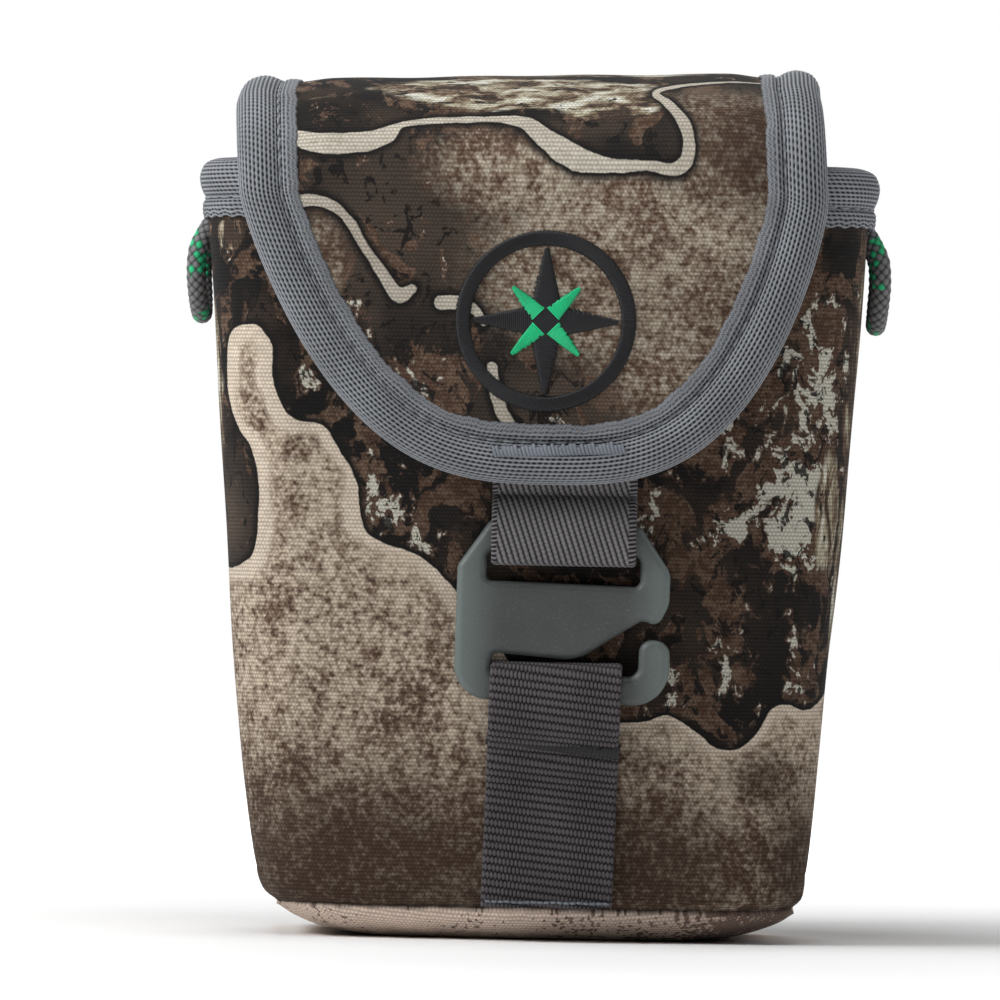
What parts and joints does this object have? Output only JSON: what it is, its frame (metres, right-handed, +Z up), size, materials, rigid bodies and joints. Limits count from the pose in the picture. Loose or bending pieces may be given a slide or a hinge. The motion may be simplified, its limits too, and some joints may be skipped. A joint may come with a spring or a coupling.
{
  "type": "rangefinder belt pouch",
  "caption": "Padded camouflage belt pouch for a compact laser rangefinder, with an arched flap closed by a flat G-hook on an elastic strap.",
  "frame": {"origin": "middle of the base, on the surface that the pouch stands on", "axes": "+Z up, front with the hook towards -Y, +X to the right seen from the front"},
  "size_m": [0.1078, 0.0702, 0.1341],
  "materials": {
    "camo_fabric": "matte printed polyester, fine plain weave",
    "foam": "closed-cell foam",
    "lining": "smooth knitted lining",
    "binding": "open knitted tape",
    "webbing": "ribbed plain-weave webbing",
    "elastic": "twill-faced elastic",
    "thread": "satin thread",
    "hook_metal": "fine-grained matt powder coat",
    "cord": "braided sheath with coloured flecks",
    "emblem_thread": "satin embroidery thread"
  },
  "bodies": {
    "pouch": {"front_side_outer": "camo_fabric", "front_side_foam": "foam", "front_side_lining": "lining", "back_outer": "camo_fabric", "back_foam": "foam", "back_lining": "lining", "base_outer": "camo_fabric", "base_foam": "foam", "base_lining": "lining", "mouth_binding": "binding", "front_webbing": "webbing", "webbing_bar_tack": "thread", "belt_loop_left": "webbing", "belt_loop_right": "webbing", "belt_tack_left_low": "thread", "belt_tack_left_top": "thread", "belt_tack_right_low": "thread", "belt_tack_right_top": "thread"},
    "loop": {"webbing_loop": "webbing"},
    "flap_top": {"flap_top_outer": "camo_fabric", "flap_top_foam": "foam", "flap_top_lining": "lining", "flap_top_binding_left": "binding", "flap_top_binding_right": "binding"},
    "flap_front": {"flap_front_outer": "camo_fabric", "flap_front_foam": "foam", "flap_front_lining": "lining", "flap_front_binding": "binding", "emblem": "emblem_thread", "strap_bar_tack": "thread", "strap_anchor": "elastic"},
    "strap": {"elastic_strap": "elastic"},
    "strap_end": {"strap_fold": "elastic"},
    "hook": {"g_hook": "hook_metal"},
    "cord_left": {"cord_loop_left": "cord"},
    "cord_right": {"cord_loop_right": "cord"}
  },
  "joints": [
    {"name": "flap_hinge", "type": "hinge", "parent": "pouch", "child": "flap_top", "pos_m": [0, 0.0286, 0.112], "axis": [-1, 0, 0], "range_deg": [0, 150]},
    {"name": "flap_fold", "type": "hinge", "parent": "flap_top", "child": "flap_front", "pos_m": [0, -0.0267, 0.128], "axis": [-1, 0, 0], "range_deg": [0, 80]},
    {"name": "strap_hinge", "type": "hinge", "parent": "flap_front", "child": "strap", "pos_m": [0, -0.0275, 0.0696], "axis": [-1, 0, 0], "range_deg": [0, 70], "deforming": ["elastic_strap"]},
    {"name": "strap_stretch", "type": "slide", "parent": "strap", "child": "strap_end", "axis": [0, 0, -1], "range_m": [0, 0.0045], "stiffness_N_per_m": 300},
    {"name": "hook_swing", "type": "hinge", "parent": "strap_end", "child": "hook", "pos_m": [0, -0.02677, 0.0616], "axis": [-1, 0, 0], "range_deg": [0, 80], "deforming": ["strap_fold"]},
    {"name": "loop_swing", "type": "hinge", "parent": "pouch", "child": "loop", "pos_m": [0, -0.0232, 0.0349], "axis": [-1, 0, 0], "range_deg": [0, 60], "deforming": ["webbing_loop"]},
    {"name": "cord_left_swing", "type": "hinge", "parent": "pouch", "child": "cord_left", "pos_m": [-0.0523, 0.0021, 0.1099], "axis": [0, 1, 0], "range_deg": [0, 75]},
    {"name": "cord_right_swing", "type": "hinge", "parent": "pouch", "child": "cord_right", "pos_m": [0.0523, 0.0021, 0.1099], "axis": [0, -1, 0], "range_deg": [0, 75]}
  ]
}
